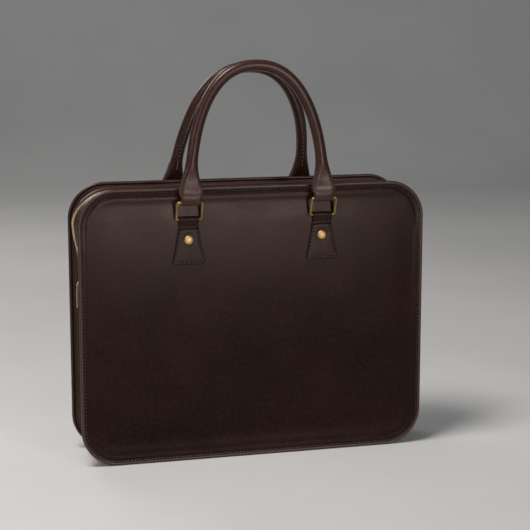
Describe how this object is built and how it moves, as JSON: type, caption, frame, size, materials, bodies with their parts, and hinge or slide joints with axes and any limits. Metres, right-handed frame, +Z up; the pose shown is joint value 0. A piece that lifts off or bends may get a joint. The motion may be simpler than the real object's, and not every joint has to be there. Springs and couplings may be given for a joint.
{
  "type": "leather briefcase",
  "caption": "Slim zip-round leather briefcase with rolled rims, a recessed gusset and two rolled arched handles on rectangular rings.",
  "frame": {"origin": "on the floor, under the middle of the case between its two rims", "axes": "+X to the right along the width, -Y towards the front panel, +Z up"},
  "size_m": [0.38, 0.1019, 0.4279],
  "materials": {
    "panel_leather": "smooth semi-gloss full grain leather with fine pores",
    "binding_leather": "smooth rolled leather, polished on its crown",
    "gusset_leather": "smooth leather, darker in the recess",
    "trim_leather": "smooth thick leather with burnished edges",
    "handle_leather": "rolled leather, polished by the hand",
    "zip_tape": "herringbone woven tape",
    "lining_cloth": "plain cotton twill",
    "cord_core": "twisted cotton rope",
    "board": "bonded fibre board",
    "zip_brass": "satin, tarnished in the recesses",
    "rivet_brass": "polished dome with fine scratches",
    "ring_brass": "antique, satin"
  },
  "bodies": {
    "case_back": {"back_panel": "panel_leather", "back_board": "board", "back_lining": "lining_cloth", "back_binding": "binding_leather", "back_gusset": "gusset_leather", "back_zip_tape": "zip_tape", "back_zip_teeth": "zip_brass", "bottom_gusset": "gusset_leather", "base_board": "board", "left_side_gusset": "gusset_leather", "right_side_gusset": "gusset_leather", "inner_pocket": "lining_cloth", "left_zip_end_tab": "trim_leather", "right_zip_end_tab": "trim_leather", "zip_end_box": "zip_brass", "back_left_chape": "trim_leather", "back_right_chape": "trim_leather", "back_rivets": "rivet_brass", "back_rivet_washers": "rivet_brass"},
    "case_front": {"front_panel": "panel_leather", "front_board": "board", "front_lining": "lining_cloth", "front_binding": "binding_leather", "front_gusset": "gusset_leather", "front_zip_tape": "zip_tape", "front_zip_teeth": "zip_brass", "front_left_chape": "trim_leather", "front_right_chape": "trim_leather", "front_rivets": "rivet_brass", "front_rivet_washers": "rivet_brass"},
    "slider": {"zip_slider": "zip_brass"},
    "pull": {"zip_pull": "zip_brass"},
    "front_rings": {"front_left_ring": "ring_brass", "front_right_ring": "ring_brass"},
    "back_rings": {"back_left_ring": "ring_brass", "back_right_ring": "ring_brass"},
    "front_handle": {"front_handle_cover": "handle_leather", "front_handle_ends": "handle_leather", "front_handle_core": "cord_core"},
    "back_handle": {"back_handle_cover": "handle_leather", "back_handle_ends": "handle_leather", "back_handle_core": "cord_core"}
  },
  "joints": [
    {"name": "case_opening", "type": "hinge", "parent": "case_back", "child": "case_front", "pos_m": [0, -0.0331, 0.00925], "axis": [1, 0, 0], "range_deg": [0, 8], "deforming": ["left_side_gusset", "right_side_gusset"]},
    {"name": "slider_travel", "type": "slide", "parent": "case_back", "child": "slider", "axis": [0, 0, 1], "range_m": [0, 0.03]},
    {"name": "pull_swing", "type": "hinge", "parent": "slider", "child": "pull", "pos_m": [-0.1864, 0, 0.1902], "axis": [0, 1, 0], "range_deg": [0, 150]},
    {"name": "front_ring_tilt", "type": "hinge", "parent": "case_front", "child": "front_rings", "pos_m": [0, -0.03995, 0.2625], "axis": [1, 0, 0], "range_deg": [0, 55]},
    {"name": "front_handle_swing", "type": "hinge", "parent": "front_rings", "child": "front_handle", "pos_m": [0, -0.04744, 0.28104], "axis": [1, 0, 0], "range_deg": [-3, 85]},
    {"name": "back_ring_tilt", "type": "hinge", "parent": "case_back", "child": "back_rings", "pos_m": [0, 0.03995, 0.2625], "axis": [-1, 0, 0], "range_deg": [0, 55]},
    {"name": "back_handle_swing", "type": "hinge", "parent": "back_rings", "child": "back_handle", "pos_m": [0, 0.04744, 0.28104], "axis": [-1, 0, 0], "range_deg": [-3, 99]}
  ]
}
